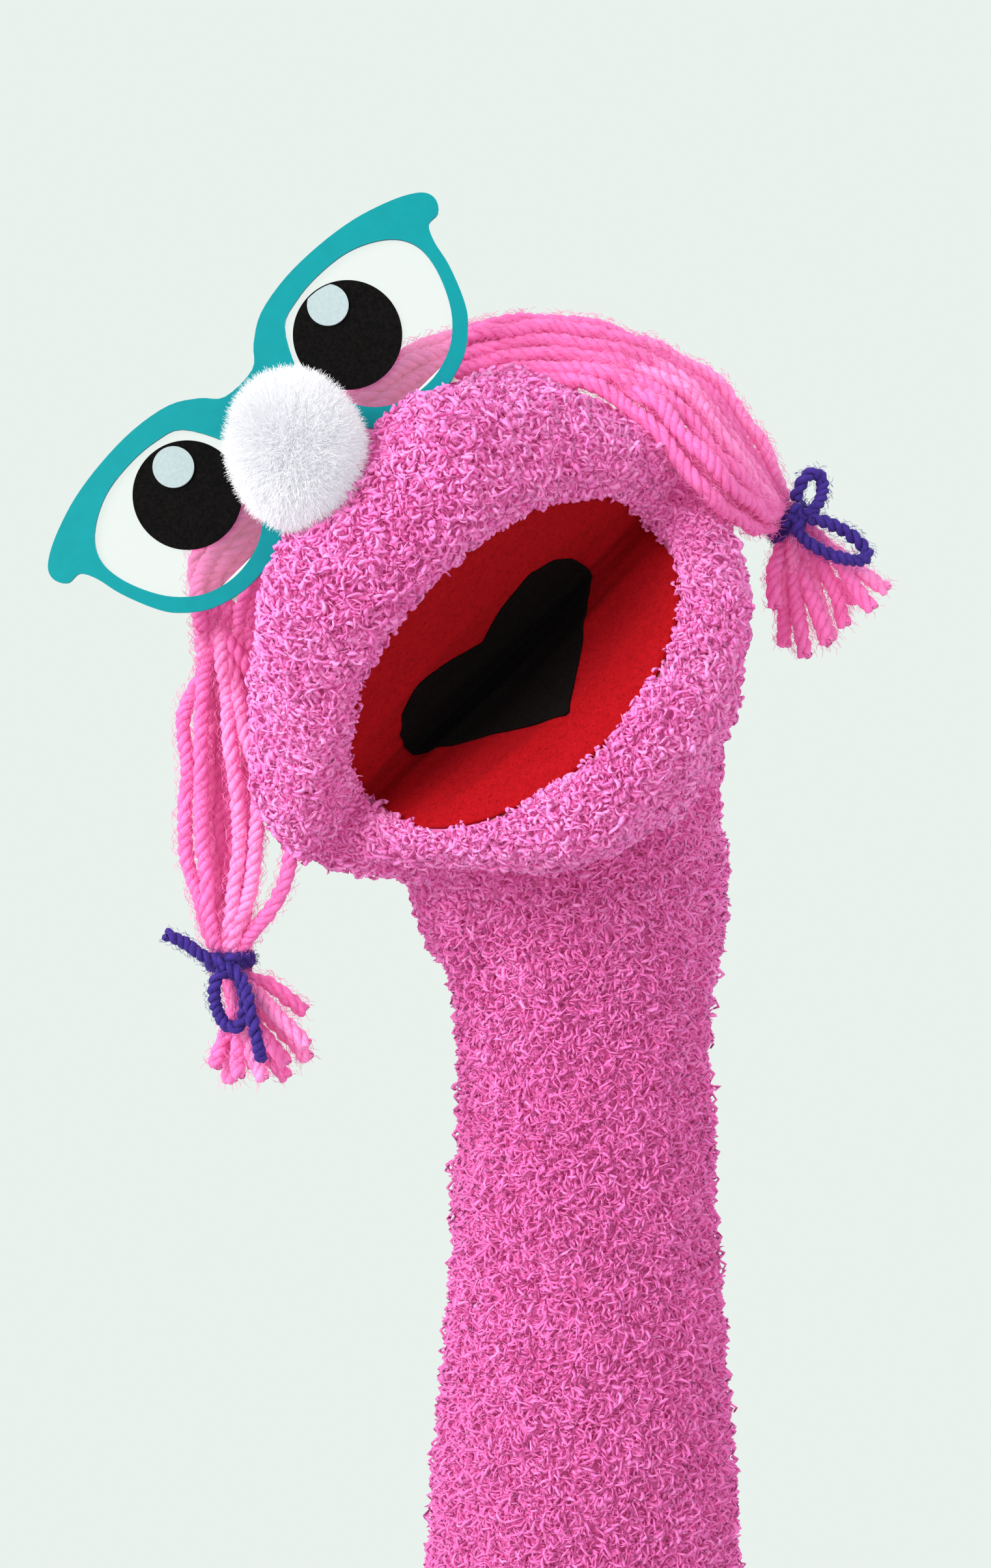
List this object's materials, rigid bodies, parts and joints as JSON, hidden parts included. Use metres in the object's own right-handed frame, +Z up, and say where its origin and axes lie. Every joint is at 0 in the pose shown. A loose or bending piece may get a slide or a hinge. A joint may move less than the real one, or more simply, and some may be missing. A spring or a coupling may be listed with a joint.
{
  "type": "sock puppet",
  "caption": "Arm puppet made from a fuzzy pink sock, with a folding red felt mouth, cat-eye glasses, pompom nose and tied yarn bunches.",
  "frame": {"origin": "centre of the arm opening, at the cuff's lower edge", "axes": "+Z up the sleeve along the forearm, the face and the open mouth look along -Y, +X to the viewer's right"},
  "size_m": [0.2281, 0.1808, 0.4696],
  "materials": {
    "sock_rib": "ribbed knit",
    "sock_pile": "fuzzy chenille pile",
    "board": "plain board",
    "red_felt": "felt",
    "black_felt": "felt",
    "teal_plastic": "satin, slightly see-through sheet",
    "clear_film": "clear plastic film",
    "black_card": "matte card disc",
    "pale_card": "matte card disc",
    "glue": "hot-melt glue",
    "white_fluff": "fluffy pile",
    "pink_yarn": "plied wool yarn",
    "purple_yarn": "plied wool yarn"
  },
  "bodies": {
    "sleeve": {"sock_cuff": "sock_rib", "sock_sleeve": "sock_pile"},
    "wrist": {"sock_wrist": "sock_pile"},
    "head": {"sock_head": "sock_pile", "mouth_card_upper": "board", "mouth_felt_upper": "red_felt", "heart_upper": "black_felt", "glasses_frame": "teal_plastic", "lens_left": "clear_film", "lens_right": "clear_film", "pupil_left": "black_card", "pupil_right": "black_card", "highlight_left": "pale_card", "highlight_right": "pale_card", "glasses_glue": "glue", "nose_pompom": "white_fluff", "nose_glue": "glue", "hair_hank": "pink_yarn", "hair_glue": "glue"},
    "jaw": {"sock_jaw": "sock_pile", "mouth_card_lower": "board", "mouth_felt_lower": "red_felt", "heart_lower": "black_felt"},
    "pigtail_left": {"pigtail_left": "pink_yarn", "tassel_left": "pink_yarn", "tie_wrap_left": "purple_yarn", "tie_knot_left": "purple_yarn", "tie_loop_left": "purple_yarn", "tie_tails_left": "purple_yarn"},
    "pigtail_right": {"pigtail_right": "pink_yarn", "tassel_right": "pink_yarn", "tie_wrap_right": "purple_yarn", "tie_knot_right": "purple_yarn", "tie_loops_right": "purple_yarn"}
  },
  "joints": [
    {"name": "wrist_tilt", "type": "hinge", "parent": "sleeve", "child": "wrist", "pos_m": [0, 0, 0.292], "axis": [0, 1, 0], "range_deg": [-15, 45]},
    {"name": "wrist_nod", "type": "hinge", "parent": "wrist", "child": "head", "pos_m": [0, 0, 0.292], "axis": [0.7071, 0, 0.7071], "range_deg": [-15, 15]},
    {"name": "jaw_hinge", "type": "hinge", "parent": "head", "child": "jaw", "pos_m": [-0.024, -0.06, 0.35], "axis": [0.7071, 0, 0.7071], "range_deg": [-57, 12]},
    {"name": "pigtail_left_swing", "type": "hinge", "parent": "head", "child": "pigtail_left", "pos_m": [-0.103, -0.056, 0.35], "axis": [0, -1, 0], "range_deg": [-45, 3]},
    {"name": "pigtail_right_swing", "type": "hinge", "parent": "head", "child": "pigtail_right", "pos_m": [0.021, -0.048, 0.423], "axis": [0, -1, 0], "range_deg": [0, 60]}
  ]
}
